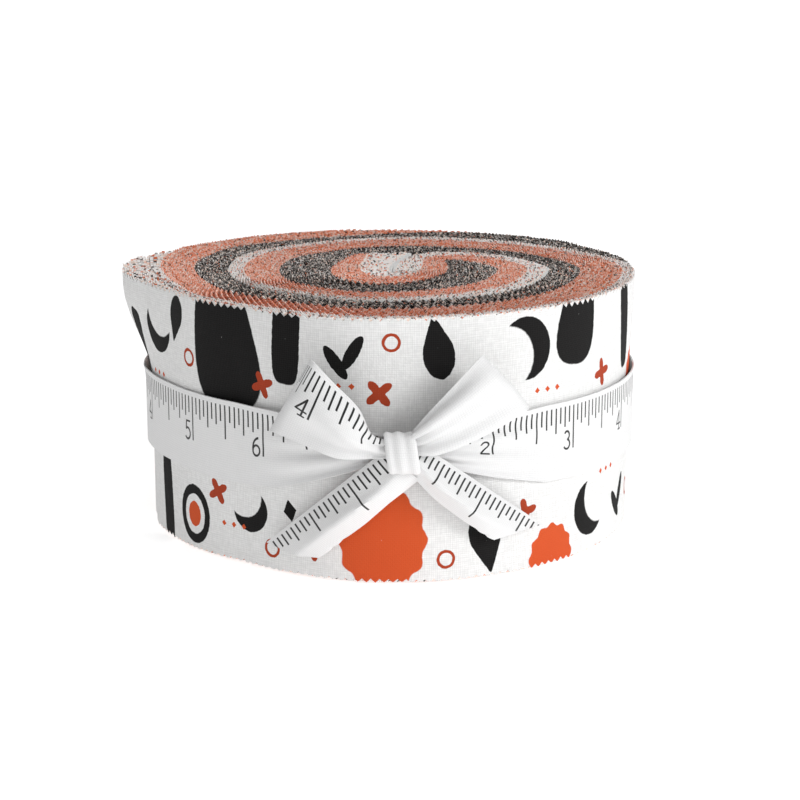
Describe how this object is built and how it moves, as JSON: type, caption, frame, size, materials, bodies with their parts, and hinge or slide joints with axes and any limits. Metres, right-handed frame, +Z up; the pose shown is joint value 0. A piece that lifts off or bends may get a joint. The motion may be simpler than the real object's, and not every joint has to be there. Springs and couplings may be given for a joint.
{
  "type": "roll of quilting fabric strips tied with a ribbon bow",
  "caption": "Drum-shaped roll of pinked, folded quilting cotton strips, tied round the waist with a flat ribbon in a bow.",
  "frame": {"origin": "on the roll's axis at the flat face it stands on", "axes": "+Z up along the roll's axis; -Y is the front, where the bow is; +X is to the right as seen from the front"},
  "size_m": [0.131, 0.1406, 0.0635],
  "materials": {
    "quilting_cotton": "folded cotton strips, cut edges outward",
    "printed_cotton": "white printed quilting cotton",
    "twill_ribbon": "white ribbed ribbon with a ruler print"
  },
  "bodies": {
    "root": {"fabric_roll": "quilting_cotton", "strip_end": "printed_cotton", "ribbon_band": "twill_ribbon", "bow_knot": "twill_ribbon", "bow_loop_left": "twill_ribbon", "bow_loop_right": "twill_ribbon", "bow_tail_left": "twill_ribbon", "bow_tail_right": "twill_ribbon"}
  },
  "joints": []
}
